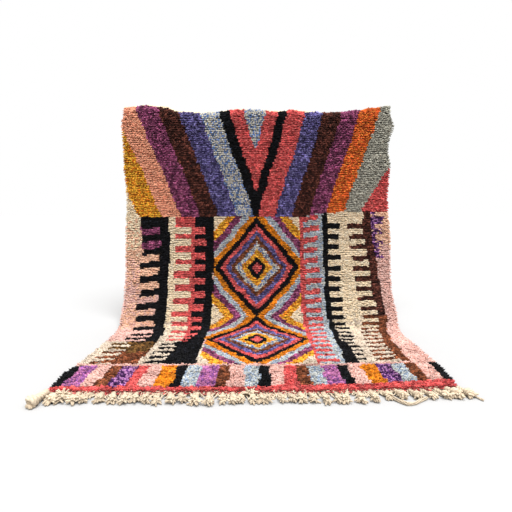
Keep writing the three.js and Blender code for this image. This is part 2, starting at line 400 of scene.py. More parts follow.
def chart_left_combs(chart, across, front):
    inside = between(front, MIDDLE_FROM, CHEVRON_FROM)
    edge = across + 0.004 * drift(front / 0.1, 0, 31)
    edge = edge - from_table(COLUMN_IN, front) * np.clip((-across - 0.27) / 0.12, 0, 1)
    level = front + from_table(ROW_CREEP, front)

    def strip(knots, low, high, yarn):
        work(chart, inside & knots & between(edge, low, high), yarn)

    # The outer comb: black teeth on rose, with plum between the first ones
    strip(front > ROSE_GAPS_FROM, -0.665, LEFT_SPINE, "rose")
    strip(front > PLUM_GAPS_FROM, LEFT_TIPS, LEFT_SPINE, "plum")
    teeth = comb_tooth(edge, level, -0.553, LEFT_TIPS, 0.0793, 1.411, 41, 0.12)
    work(chart, inside & (teeth | between(edge, -0.556, LEFT_SPINE)), "black")
    strip(front > 1.385, LEFT_TIPS, LEFT_SPINE, "black")
    # The inner comb: coral and black teeth lie in the same rows
    strip(True, LEFT_SPINE, INNER_TIPS, "cream")
    widening = 0.06 * np.clip((0.66 - front) / 0.16, 0, 1)
    row = comb_tooth(edge, level, -0.28, -0.7, 0.0755, 1.4115, 42) | (front > 1.39)
    strip(True, INNER_TIPS, -0.36, "cream")
    strip(row, INNER_TIPS, -0.35, "coral")
    strip(~row, -0.376, -0.28, "coral")
    strip(True, -0.292 - widening, LOZENGE_EDGE, "black")
    strip(row, -0.353 - widening / 2, LOZENGE_EDGE, "black")
    # Near the blocks the teeth turn thin: brown outside, black inside
    low = front < LOW_TO + 0.008 * drift(across / 0.05, 0, 32)
    strip(low, -HALF_WIDTH, LOZENGE_EDGE, "cream")
    brown = comb_tooth(edge, front, -0.60, -0.70, LOW_PITCH, LOW_TOOTH, 43, 0.1)
    brown = inside & low & (brown | between(edge, -0.612, LEFT_SPINE))
    work(chart, brown, "brown")
    older = front > TOBACCO_FROM + 0.03 * drift(across / 0.04, front / 0.03, 34)
    work(chart, brown & older, "tobacco")
    black = comb_tooth(edge, front, -0.39, -0.475, LOW_PITCH, LOW_TOOTH, 44, 0.1)
    work(chart, inside & low & (black | between(edge, -0.395, -0.25)), "black")


def chart_right_combs(chart, across, front):
    inside = between(front, MIDDLE_FROM, CHEVRON_FROM)
    edge = across + 0.004 * drift(front / 0.1, 0, 33)
    edge = edge + 0.012 * np.clip((0.62 - front) / 0.1, 0, 1)
    # Coral teeth on pale blue
    work(chart, inside & between(edge, 0.252, 0.40), "sky")
    teeth = comb_tooth(edge, front, 0.275, 0.361, 0.061, 1.3706, 45)
    work(chart, inside & (teeth | between(edge, 0.252, 0.279)), "coral")
    # Black and brown teeth face each other on cream
    outer = edge - from_table(COLUMN_OUT, front)
    low = front < LOW_TO
    work(chart, inside & (edge > 0.40) & (outer < 0.64), "cream")
    pitch = np.where(front < THIN_TO, 0.0515, 0.0603)
    middle = np.where(front < THIN_TO, 0.587, 1.372)
    toothed = front < 1.40
    black = comb_tooth(edge, front, 0.41, 0.483, pitch, middle, 46)
    column = between(edge, 0.388, 0.416 + 0.024 * low)
    work(chart, inside & (column | (black & toothed)), "black")
    brown = comb_tooth(outer, front, 0.625, 0.528, pitch, middle, 47, 0.04)
    brown = inside & (between(outer, 0.621, 0.666) | (brown & toothed))
    work(chart, brown, "brown")
    darker = front > DARK_FROM + 0.03 * drift(front / 0.02, across / 0.1, 49)
    work(chart, brown & darker, "dark_brown")
    # A ragged comb of dark purple on the margin's first rows
    most = scatter(np.round(across * 150), np.round(front * 130), 53) < 0.9
    ragged = comb_tooth(edge, front, 0.68, 0.738, 0.071, 1.405, 48) | between(outer, 0.664, 0.69)
    work(chart, inside & (front > 1.185) & (outer > 0.666) & ragged & most, "grape")


# %% Margins, blocks and the band at the end
# Top edge of the end band: place across, and its distance from the front end
BAND_TOP = [(-0.75, 0.024), (0.0, 0.031), (0.5, 0.045), (0.75, 0.046)]

# The blocks above the end band, from the left, and how wide each colour is worked
BLOCK_ORDER = [
    "black", "violet", "pink", "brown", "grape", "coral", "pink", "amber", "black", "sky",
    "violet", "brown", "pink", "sky", "black", "pink", "coral", "brown", "sky", "violet",
    "black", "pink", "amber", "grape", "sky", "brown", "pink", "black",
]
BLOCK_WIDTHS = {
    "black": 0.0415, "violet": 0.066, "grape": 0.060, "pink": 0.0575, "brown": 0.0465,
    "coral": 0.046, "amber": 0.060, "sky": 0.057,
}


def luck(across, front, seed):
    """An uneven value from 0 to 1 at each knot."""
    return scatter(np.round(across * 400), np.round(front * 400), seed)


def chart_margins(chart, across, front):
    """The margins drift from cream to rose to pink, a few knots at a time."""
    margin = front < CHEVRON_FROM
    work(chart, margin, "rose")
    draw = luck(across, front, 56)
    pale = 0.9 + 0.5 * drift(front / 0.16, across / 0.9, 51) - 0.8 * (front - 0.45)
    pale = pale + 0.9 * (across > 0) * np.clip((1.32 - front) / 0.1, 0, 1)
    work(chart, margin & (pale > draw), "pink")
    cream = 0.4 * drift(front / 0.12, across / 0.8, 52) + 3.0 * (front - 1.14)
    work(chart, margin & (cream > draw) & (across < 0), "cream")
    low_cream = 1.8 - 9 * np.abs(front - 0.33) + 0.3 * drift(front / 0.05, across / 0.1, 57)
    work(chart, margin & (low_cream > draw) & (across < -0.5), "cream")


def chart_blocks(chart, across, front):
    """The thin row above the blocks, the blocks, and the band at the end."""
    work(chart, between(front, BLOCKS_TOP, MIDDLE_FROM), "pink")
    order = np.array([yarn_number[yarn] for yarn in BLOCK_ORDER])
    widths = np.array([BLOCK_WIDTHS[yarn] for yarn in BLOCK_ORDER])
    edges = np.cumsum(widths)[:-1] / widths.sum() * 2 * HALF_WIDTH - HALF_WIDTH
    block = np.searchsorted(edges, across + 0.006 * drift(front / 0.06, across / 0.05, 54))
    uneven = 0.006 * drift(across / 0.11, 0, 55) + 0.004 * drift(across / 0.03, 0, 59)
    band_top = from_table(BAND_TOP, across) + uneven
    in_blocks = between(front, band_top, BLOCKS_TOP)
    chart[in_blocks] = order[block][in_blocks]
    work(chart, front < band_top, "coral")


print(len(BLOCK_ORDER), "blocks above the end band")


# %% The whole chart
# The rows climb a little to the right: place across, and how much
ROW_CLIMB = [(-0.75, 0.0), (0.26, 0.0), (0.40, 0.022), (0.75, 0.028)]
# How far from the front end the painted-shade copy of the cream reaches, and how unevenly it fades
SHADED_CREAM_TO = 0.58
SHADED_CREAM_FADES_OVER = 0.34
BACK_BAND = 0.05


def yarn_chart(share, front):
    """The yarn's number at each knot, by its place across and its distance from the front end."""
    across = place_across(share, distance_along(straight_across(share), front))
    level = front - from_table(ROW_CLIMB, across) * np.clip((front - 0.6) / 0.8, 0, 1)
    chart = np.full(across.shape, yarn_number["salmon"])
    for part in (chart_margins, chart_left_combs, chart_right_combs, chart_lozenges, chart_chevrons):
        part(chart, across, level)
    chart_blocks(chart, across, front)
    # Towards the front end, where the floor's strong light falls, the cream is a darker copy: painted shade
    towards_front = front < SHADED_CREAM_TO + SHADED_CREAM_FADES_OVER * luck(across, front, 58)
    work(chart, (chart == yarn_number["cream"]) & towards_front, "shaded_cream")
    # The plain end behind the rod
    work(chart, front >= RUG_LENGTH - BACK_BAND, "coral")
    return chart


def yarn_tones(yarn, first, second, seed):
    """The tone of each yarn end: main or fleck, a little lighter or darker from one to the next."""
    flecked = scatter(first, second, seed) < fleck_shares[yarn]
    tones = np.where(flecked[..., None], fleck_tones[yarn], main_tones[yarn])
    uneven = 0.34 * stray(first, second, seed + 1) * (1 - 0.7 * tones.mean(axis=-1))
    return tones * (1 + uneven)[..., None]


# %% [markdown]
# Every piece here is thousands of small faces, so they are made as arrays of points and triangles
# and handed to Blender in one go. Each yarn end gets its own small square of the texture map, so
# that an exported picture can hold its colour without a slow automatic unwrap.

# %% Turn arrays into a piece
def grid(*steps):
    """All combinations of the steps, each as one flat list."""
    return [part.ravel() for part in np.meshgrid(*steps, indexing="ij")]


def fill(rows, field, values, kind=np.float32):
    rows.foreach_set(field, np.ascontiguousarray(values, dtype=kind).ravel())


def new_object(name, data):
    made = bpy.data.objects.new(name, data)
    bpy.context.scene.collection.objects.link(made)
    return made


def make_piece(name, points, triangles, loop_uv, tones, tips, more_uv):
    """One mesh piece: its shape, its texture squares, its yarn tone and tip by point, a named map."""
    count = len(triangles)
    mesh = bpy.data.meshes.new(name)
    mesh.vertices.add(len(points))
    fill(mesh.vertices, "co", points)
    mesh.loops.add(3 * count)
    fill(mesh.loops, "vertex_index", triangles, np.int32)
    mesh.polygons.add(count)
    fill(mesh.polygons, "loop_start", 3 * np.arange(count), np.int32)
    mesh.update(calc_edges=True)
    fill(mesh.polygons, "use_smooth", np.ones(count), bool)
    for uv_name, values in (("OFBake", loop_uv), more_uv):
        fill(mesh.uv_layers.new(name=uv_name).data, "uv", values)
    rgba = np.concatenate([tones, np.ones((len(points), 1))], axis=1)
    fill(mesh.attributes.new("yarn", "FLOAT_COLOR", "POINT").data, "color", rgba)
    # The tip value sets how much painted light each point gets: lower values paint shade
    fill(mesh.attributes.new("tip", "FLOAT", "POINT").data, "value", tips)
    mesh.validate()
    piece = new_object(name, mesh)
    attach(piece, "root")
    return piece


# %% [markdown]
# The foundation is the woven ground that the knots are tied on. From the front it hides under the
# pile, but from behind it is the face of the rug: rows of flat knot backs with the weft between
# them. It is one closed thin sheet on a grid of one point for each knot, so its points can carry
# the same chart as the pile.

# %% The woven foundation
KNOTS_ACROSS = 150
KNOT_ROWS = 250
SHEET_THICKNESS = 0.0045
SHEET_UNEVEN = 0.0005
ABOVE_FLOOR = 0.0002
# Each side of the sheet takes this share of the texture map's width
SIDE_SHARE = 0.48


def foundation_piece():
    share, front = np.meshgrid(
        np.linspace(0, 1, KNOTS_ACROSS + 1), np.linspace(0, RUG_LENGTH, KNOT_ROWS + 1), indexing="ij"
    )
    chart = yarn_chart(share, front)
    tones = yarn_tones(chart, np.round(share * KNOTS_ACROSS), np.round(front * 100), 61).reshape(-1, 3)
    thick = SHEET_THICKNESS + SHEET_UNEVEN * drift(share * 60, front * 40, 62)
    over, under = (lay_on_cloth(share, front, up)[0].reshape(-1, 3) for up in (thick, ABOVE_FLOOR))
    number = np.arange(share.size).reshape(share.shape)
    below = share.size
    a, b, c, d = number[:-1, :-1], number[1:, :-1], number[1:, 1:], number[:-1, 1:]
    over_faces = np.stack([a, b, c, a, c, d], axis=-1).reshape(-1, 3)
    ring = np.concatenate([number[:-1, 0], number[-1, :-1], number[:0:-1, -1], number[0, :0:-1]])
    following = np.roll(ring, -1)
    rim_faces = np.stack([ring, ring + below, following + below, ring, following + below, following], axis=-1)
    triangles = np.concatenate([over_faces, over_faces[:, ::-1] + below, rim_faces.reshape(-1, 3)])
    loops = triangles.ravel()
    bake = np.stack([share * SIDE_SHARE, front / RUG_LENGTH], axis=-1).reshape(-1, 2)
    bake = np.concatenate([bake + (0.01, 0), bake + (0.51, 0)])[loops]
    cloth = np.stack([share * 2 * HALF_WIDTH, front], axis=-1).reshape(-1, 2)
    cloth = np.concatenate([cloth, cloth])[loops]
    points = np.concatenate([over, under])
    # 0 on the top and 1 on the back: the finish paints shade on the top, under the pile, and weft on the back
    tips = np.repeat([0.0, 1.0], below)
    return make_piece("foundation", points, triangles, bake, np.tile(tones, (2, 1)), tips, ("cloth", cloth))


foundation = foundation_piece()
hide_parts("rug")
print("foundation", len(foundation.data.polygons), "triangles")

# %% [markdown]
# The pile is what makes this rug soft: at each knot, two ends of thick wool yarn stand up about two
# centimetres and lean towards the front end. Hair strands would look right in a render, but
# they aren't a mesh and would be lost in an exported model. So each yarn end is a small mesh
# of its own, three-sided, narrow at its knot, plump near the top and blunt at the tip. Its lean
# comes from the nap, a slow drift in clumps, the rim, the creases and a little chance.

# %% How the nap lies
NAP_LEAN = 0.0095
FLAP_LEAN = 0.011
PIT_SHARE = 0.07
PIT_DEPTH = 0.008
# Unevenness: slow drift, its reach across and along, by yarn end, by knot, and a seed for each
UNEVEN_AHEAD = (0.0045, 0.030, 0.025, 0.0030, 0.0050, (0, 1, 10))
UNEVEN_ASIDE = (0.0030, 0.028, 0.030, 0.0035, 0.0035, (2, 3, 11))
UNEVEN_HEIGHT = (0.0016, 0.070, 0.060, 0.0025, 0.0060, (4, 5, 9))
# A crease parts the pile over a shorter reach than it sinks it
PARTING_REACH = 0.016
PARTING_LEAN = 0.011
CREASE_SHARE = 0.6
# How far the front rim spills over the woven end: place across, and how far
RIM_SPILL = [(-0.75, 0.025), (-0.3, 0.021), (0.1, 0.015), (0.75, 0.021)]
RIM_DROP = 0.012
SIDE_SPILL = 0.008
BACK_SPILL = 0.016


def uneven_nap(share, front, start, numbers, seed):
    """One measure of the nap, with its slow drift and its chance by yarn end and by knot."""
    slow, reach_across, reach_along, by_end, by_knot, seeds = numbers
    drifting = drift(straight_across(share) / reach_across, front / reach_along, seed + seeds[0])
    end_stray = stray(np.round(share * 4000), np.round(front * 4000), seed + seeds[1])
    knot_row = np.floor(front * KNOT_ROWS / RUG_LENGTH)
    knot_stray = stray(np.floor(share * KNOTS_ACROSS), knot_row, seed + seeds[2])
    return start + slow * drifting + by_end * end_stray + by_knot * knot_stray


def nap(share, front, along, seed):
    """How far each yarn end leans along and across, and how much taller it stands."""
    across = straight_across(share)
    ahead = uneven_nap(share, front, NAP_LEAN, UNEVEN_AHEAD, seed)
    aside = uneven_nap(share, front, 0.0, UNEVEN_ASIDE, seed)
    height = uneven_nap(share, front, 0.0, UNEVEN_HEIGHT, seed)
    pit = scatter(np.round(share * 4000), np.round(front * 4000), seed + 12) < PIT_SHARE
    height = height - PIT_DEPTH * pit
    for crease_along, start, stop, depth, reach in CREASES:
        inside = (across > start) & (across < stop)
        off = along - crease_along + 0.006 * drift(across / 0.09, 0, seed + 6)
        height = height - inside * depth * CREASE_SHARE * np.exp(-(off / reach) * (off / reach))
        parting = off / PARTING_REACH
        open_here = 0.5 + 0.5 * drift(across / 0.11, 0, seed + 7)
        ahead = ahead + inside * open_here * PARTING_LEAN * parting * np.exp(-parting * parting)
    # Here and there the rows part along the weft
    ahead = ahead + 0.0035 * drift(front / 0.021, across / 0.22, seed + 8)
    # The flap's nap points up, and its own weight lets it down again
    behind = np.clip((flap_length(across) - along) / 0.03, 0, 1)
    ahead = ahead - behind * FLAP_LEAN
    # The rim spills outwards
    edge = np.minimum(share, 1 - share) * 2 * HALF_WIDTH
    aside = aside + np.sign(share - 0.5) * SIDE_SPILL * np.exp(-edge / 0.012)
    rim = np.exp(-np.maximum(front, 0) / 0.010)
    back_rim = np.exp(-(RUG_LENGTH - front) / 0.015)
    ahead = ahead + from_table(RIM_SPILL, across) * rim - BACK_SPILL * back_rim
    return ahead, aside, height - RIM_DROP * rim


# %% The shape of one yarn end
END_HEIGHT = 0.0195
ROOT_UP = 0.003
ROOT_RADIUS = 0.0031
PLUMP_RADIUS = 0.0050
PLUMP_SHARE = 0.77
PLUMP_LEAN = 0.55
POINTS_EACH = 7
# Rows of its own square of the texture map: root, plump part and tip
ROOT_ROW = 0.04
PLUMP_ROW = 0.62
TIP_ROW = 0.96


def end_pattern():
    """Triangles between the three root corners, the three plump ones and the tip, and their map."""
    triangles = []
    unwrapped = []
    for side in range(3):
        following = (side + 1) % 3
        near, far = (0.02 + 0.96 * (side + step) / 3 for step in (0, 1))
        triangles.append((side, following, following + 3))
        triangles.append((side, following + 3, side + 3))
        triangles.append((side + 3, following + 3, 6))
        unwrapped.append([(near, ROOT_ROW), (far, ROOT_ROW), (far, PLUMP_ROW)])
        unwrapped.append([(near, ROOT_ROW), (far, PLUMP_ROW), (near, PLUMP_ROW)])
        unwrapped.append([(near, PLUMP_ROW), (far, PLUMP_ROW), ((near + far) / 2, TIP_ROW)])
    # Aside crossed with ahead points into the cloth, so the faces are turned over
    return np.array(triangles)[:, ::-1], np.array(unwrapped)[:, ::-1]


print("one yarn end has", len(end_pattern()[0]), "triangles")


def end_points(share, front, column, row, end):
    """The seven points of each yarn end."""
    root, away, ahead, along = lay_on_cloth(share, front, ROOT_UP)
    lean_ahead, lean_aside, taller = nap(share, front, along, 81)
    aside = np.zeros_like(away)
    aside[:, 0] = 1
    lean = ahead * lean_ahead[:, None] + aside * lean_aside[:, None]
    height = END_HEIGHT + taller
    top = root + away * height[:, None] + lean
    plump = root + away * (height * PLUMP_SHARE)[:, None] + lean * PLUMP_LEAN
    past_flap = along - flap_length(straight_across(share))
    over_rod = np.exp(-((past_flap / wrap_length - 0.5) / 0.6) ** 2)
    size = (0.9 + 0.25 * scatter(column, row, 75 + end)) * (1 + 0.45 * over_rod)
    spin = 2 * math.pi * scatter(column, row, 77 + end)
    rings = []
    for centre, radius in ((root, ROOT_RADIUS), (plump, PLUMP_RADIUS)):
        for corner_angle in np.arange(3) * 2 * math.pi / 3:
            angle = spin + corner_angle
            reach = (aside * np.cos(angle)[:, None] + ahead * np.sin(angle)[:, None]) * radius
            rings.append(centre + reach * size[:, None])
    return np.stack(rings + [top], axis=1).reshape(-1, 3)


# %% Knot the rows of one part of the pile
PAIR_APART = 0.0024
RIM_ROWS = 5


def knot_place(column, row):
    """The share of the width at a knot, and its distance from the front end."""
    return (column + 0.5) / KNOTS_ACROSS, (row + 0.5) * RUG_LENGTH / KNOT_ROWS


def knot_rows(first_row, last_row):
    """Column, row and number of every yarn end."""
    column, row, end = grid(np.arange(KNOTS_ACROSS), np.arange(first_row, last_row), (0, 1))
    share, front = knot_place(column, row)
    # Where the cloth bends over the rod its rows open, so more rows fill them, and the front rim too
    across = straight_across(share)
    on_rod = between(distance_along(across, front) - flap_length(across), -0.008, wrap_length + 0.004)
    on_rim = row < RIM_ROWS
    column = np.concatenate([column, column[on_rod], column[on_rim]])
    row = np.concatenate([row, row[on_rod] + 0.5, row[on_rim] * 0.45 - 0.45])
    return column, row, np.concatenate([end, end[on_rod], end[on_rim]])


def uneven_dye(tones, column, row, across, front):
    """Rows and clumps of the pile took the dye a little lighter or darker, dark yarns the most."""
    slow = 1 + 0.07 * drift(front / 0.035, across / 0.8, 93) + 0.05 * drift(front / 0.2, across / 0.3, 94)
    clumps = 0.5 * stray(column, row, 95) + 0.26 * drift(front / 0.015, across / 0.015, 96)
    slow = slow * np.exp(3.5 * clumps * (1 - 0.9 * tones.mean(axis=-1)) ** 3)
    return tones * slow[:, None]


def pile_piece(name, first_row, last_row):
    column, row, end = knot_rows(first_row, last_row)
    share, front = knot_place(column, row)
    chart = yarn_chart(share, front)
    share = share + (end - 0.5) * 2 * PAIR_APART / (2 * HALF_WIDTH)
    share = share + 0.0012 * stray(column, row, 71 + end)
    front = front + 0.0034 * stray(column, row, 73 + end)
    count = len(share)
    shape, unwrapped = end_pattern()
    triangles = (np.arange(count)[:, None, None] * POINTS_EACH + shape).reshape(-1, 3)
    squares = math.ceil(math.sqrt(count))
    cell = np.stack([np.arange(count) % squares, np.arange(count) // squares], axis=-1)
    loop_uv = (cell[:, None, None, :] + unwrapped) / squares
    turn = scatter(column, row, 97 + end)[:, None, None, None]
    ply = unwrapped * (1, 1.6) + np.concatenate([0 * turn, turn], axis=-1)
    tones = yarn_tones(chart, column * 2 + end, row, 91)
    tones = uneven_dye(tones, column, row, straight_across(share), front)
    # How far up the end each point lies; the finish paints shade by it, darkest at the knot
    tips = np.tile([0.0, 0.0, 0.0, 0.85, 0.85, 0.85, 1.0], count)
    points = end_points(share, front, column, row, end)
    tones = np.repeat(tones, POINTS_EACH, axis=0)
    piece = make_piece(name, points, triangles, loop_uv, tones, tips, ("ply", ply))
    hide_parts("rug")
    print(name, count, "yarn ends,", len(triangles), "triangles")
    return piece


# %% Knot the whole pile, in five lengths
PILE_LENGTHS = [
    ("pile_front_end", 0, 50),
    ("pile_foot", 50, 100),
    ("pile_middle", 100, 150),
    ("pile_upper", 150, 200),
    ("pile_back_end", 200, 250),
]
pile_pieces = [pile_piece(name, first, last) for name, first, last in PILE_LENGTHS]

# %% [markdown]
# A rug like this is cut from the loom with its warps left long. At the end on the floor, a narrow
# band of thick weft holds the rows, and then the warps are gathered, twisted and tied in chunky
# knots with short frayed tails. All of it is yarn, so all of it is made with one tool: a tube that
# follows a line of points with a radius at each.

# %% A tool for yarn
PLY_PITCH = 0.012
CAP_REACH = 0.6


def map_triangles(*corners):
    """Triangles of the texture map, from three corners each."""
    corners = [np.stack(np.broadcast_arrays(*corner), axis=-1) for corner in corners]
    return np.stack(corners, axis=1).reshape(-1, 3, 2)


class YarnTool:
    """Collects tubes of yarn, and gives each one its own square of the texture map."""

    def __init__(self, squares):
        self.squares = squares
        self.tubes = []
        self.count = 0

    def tube(self, path, radii, sides, tone, tips, beside=(0.0, 0.13, 1.0)):
        """A tube along a path. Its rings are turned by a direction that the path never takes."""
        steps = len(path) - 1
        radii = np.asarray(radii, dtype=float) * np.ones(len(path))
        # tips is the share of painted light along the tube: lower values paint shade, darker and browner
        tips = np.asarray(tips, dtype=float) * np.ones(len(path))
        run = np.gradient(path, axis=0)
        run /= np.linalg.norm(run, axis=1)[:, None]
        across = np.cross(run, np.array(beside))
        across /= np.linalg.norm(across, axis=1)[:, None]
        upward = np.cross(across, run)
        angle = (np.arange(sides) * 2 * math.pi / sides)[None, :, None]
        ring = across[:, None] * np.cos(angle) + upward[:, None] * np.sin(angle)
        points = (path[:, None] + ring * radii[:, None, None]).reshape(-1, 3)
        first_cap = path[0] - run[0] * radii[0] * CAP_REACH
        last_cap = path[-1] + run[-1] * radii[-1] * CAP_REACH
        points = np.concatenate([points, [first_cap, last_cap]])
        level, side = grid(np.arange(steps), np.arange(sides))
        a, b = level * sides + side, level * sides + (side + 1) % sides
        body = np.stack([a, a + sides, b + sides, a, b + sides, b], axis=-1).reshape(-1, 3)
        rim = np.arange(sides)
        following = (rim + 1) % sides
        cap = 0 * rim + (steps + 1) * sides
        last = steps * sides
        near_cap = np.stack([cap, rim, following], axis=-1)
        far_cap = np.stack([cap + 1, last + following, last + rim], axis=-1)
        u0, u1 = side / sides, (side + 1) / sides
        v0, v1 = (0.1 + 0.8 * (level + step) / steps for step in (0, 1))
        r0, r1 = rim / sides, (rim + 1) / sides
        uv = np.concatenate([
            map_triangles((u0, v0), (u0, v1), (u1, v1), (u0, v0), (u1, v1), (u1, v0)),
            map_triangles(((r0 + r1) / 2, 0.0), (r0, 0.1), (r1, 0.1)),
            map_triangles(((r0 + r1) / 2, 1.0), (r1, 0.9), (r0, 0.9)),
        ])
        cell = np.array([len(self.tubes) % self.squares, len(self.tubes) // self.squares])
        length = np.linalg.norm(np.diff(path, axis=0), axis=1).sum()
        self.tubes.append((
            points,
            np.concatenate([body, near_cap, far_cap]) + self.count,
            (cell + 0.03 + 0.94 * uv) / self.squares,
            np.tile(tone, (len(points), 1)),
            np.concatenate([np.repeat(tips, sides), [tips[0], tips[-1]]]),
            uv * (1, max(1, length / PLY_PITCH)),
        ))
        self.count += len(points)

    def piece(self, name):
        points, triangles, loop_uv, tones, tips, ply = (np.concatenate(part) for part in zip(*self.tubes))
        made = make_piece(name, points, triangles, loop_uv, tones, tips, ("ply", ply))
        print(name, len(self.tubes), "yarns,", len(made.data.polygons), "triangles")
        return made


# %% The woven end band
PART_GAP = 0.0003
STRIP_DEPTH = 0.018
WEFT_CORDS = 4
WEFT_RADIUS = 0.0026
WARP_SPACING = 0.0062
WARP_RADIUS = 0.0013
warp_tone = dye("D8C7AE")


def end_line(across):
    return END_FORWARD - end_setback(across)


def floor_point(across, forward, height):
    x = np.asarray(across) + FLOOR_MARK[0]
    y = FLOOR_MARK[1] - np.asarray(forward)
    return np.stack(np.broadcast_arrays(x, y, height), axis=-1)


def woven_end():
    left = -HALF_WIDTH - from_table(SIDE_LINE, RUG_LENGTH)
    right = HALF_WIDTH + from_table(SIDE_LINE, RUG_LENGTH - END_TURN_BACK, 2)
    tool = YarnTool(20)
    across = np.linspace(left, right, 260)
    for cord in range(WEFT_CORDS):
        depth = PART_GAP + STRIP_DEPTH * (cord + 0.5) / WEFT_CORDS
        depth = depth + 0.0007 * drift(across / 0.05, cord, 101)
        height = 0.0088 - 0.0017 * cord + 0.0004 * np.sin(across / 0.004 + cord * math.pi)
        radius = WEFT_RADIUS + 0.0003 * drift(across / 0.008, cord, 102)
        # The weft cords get a slightly darker tone and more painted shade than the warps over them
        tool.tube(floor_point(across, end_line(across) + depth, height), radius, 7, warp_tone * 0.97, 0.8)
    for number, place in enumerate(np.arange(left + 0.003, right - 0.003, WARP_SPACING)):
        depth = np.array([-0.001, 0.3, 0.7, 1.08]) * STRIP_DEPTH + PART_GAP
        weave = np.array([0.5, 1.0, 0.4, 0.9] if number % 2 else [0.5, 0.4, 1.0, 0.5])
        height = 0.0076 - 0.28 * depth + 0.0034 * weave
        lines = floor_point(place, end_line(place) + depth, height)
        tool.tube(lines, WARP_RADIUS, 4, warp_tone, 0.9)
    return tool.piece("woven_end")


woven_end_piece = woven_end()

# %% Where the tassels lie
ROOT_BITE = 0.002
STRAY_LEAN = 3
STRAY_REACH = 0.005
# Places across of the first and last tassel of each run, tassels, lean in degrees, reach
TASSEL_RUNS = [
    (-0.733, -0.733, 1, -4, 0.106), (-0.694, -0.584, 4, -9, 0.078), (-0.540, -0.262, 8, 9, 0.074),
    (-0.205, -0.167, 2, 4, 0.086), (-0.116, 0.052, 6, -4, 0.074), (0.084, 0.190, 4, 8, 0.071),
    (0.240, 0.406, 5, -4, 0.079), (0.444, 0.548, 3, 22, 0.066), (0.598, 0.726, 4, 20, 0.078),
]


def tassel_places():
    for run_number, (start, stop, count, lean, reach) in enumerate(TASSEL_RUNS):
        for tassel in range(count):
            share = tassel / (count - 1) if count > 1 else 0
            lean_now = math.radians(lean + STRAY_LEAN * swing(tassel, run_number, 0))
            reach_now = reach + STRAY_REACH * swing(run_number, tassel + count, 0)
            yield start + (stop - start) * share, lean_now, reach_now


places = list(tassel_places())
print(len(places), "tassels, reaching", [round(reach, 3) for _, _, reach in places[:5]])

# %% Fray the cut ends of a tassel's yarns
FRAYED_ENDS = 26
FRAY_TURN = math.radians(105)


def fray(lay, knot_run, knot_aside, length, plump, tone, seed):
    """Short blunt ends that burst out of the knot, forwards, sideways and up."""
    share = np.array([0.0, 0.35, 0.7, 1.0])
    for end in range(FRAYED_ENDS):
        turn = FRAY_TURN * swing(seed, end, 4) * (0.4 + 0.6 * chance(seed, end, 12))
        lift = math.radians(-6 + 74 * chance(seed, end, 5) ** 1.2)
        reach = length * (0.42 + 0.62 * chance(seed, end, 6)) * (1 - 0.3 * abs(turn) / FRAY_TURN)
        curl = 0.8 * swing(seed, end, 7)
        out = reach * share * math.cos(lift)
        run = knot_run + out * np.cos(turn + curl * share)
        aside = knot_aside + out * np.sin(turn + curl * share)
        height = 0.0115 + reach * share * math.sin(lift) - 0.007 * share ** 2
        radius = 0.0033 * plump * np.array([0.9, 1.05, 1.08, 0.9])
        height = np.maximum(height, radius + 0.0003)
        shade = np.clip(0.1 + 0.55 * share + 22 * (height - 0.006), 0, 1)
        lay(run, aside, height, radius, 4, tone * (0.9 + 0.25 * chance(seed, end, 8)), shade)


# %% Twist and knot one tassel
FAT_BEYOND = 0.66
LEFT_CORNER = -0.72
GATHERED_WARPS = 6
TWISTED_STRANDS = 3
KNOT_TURNS = 1.9


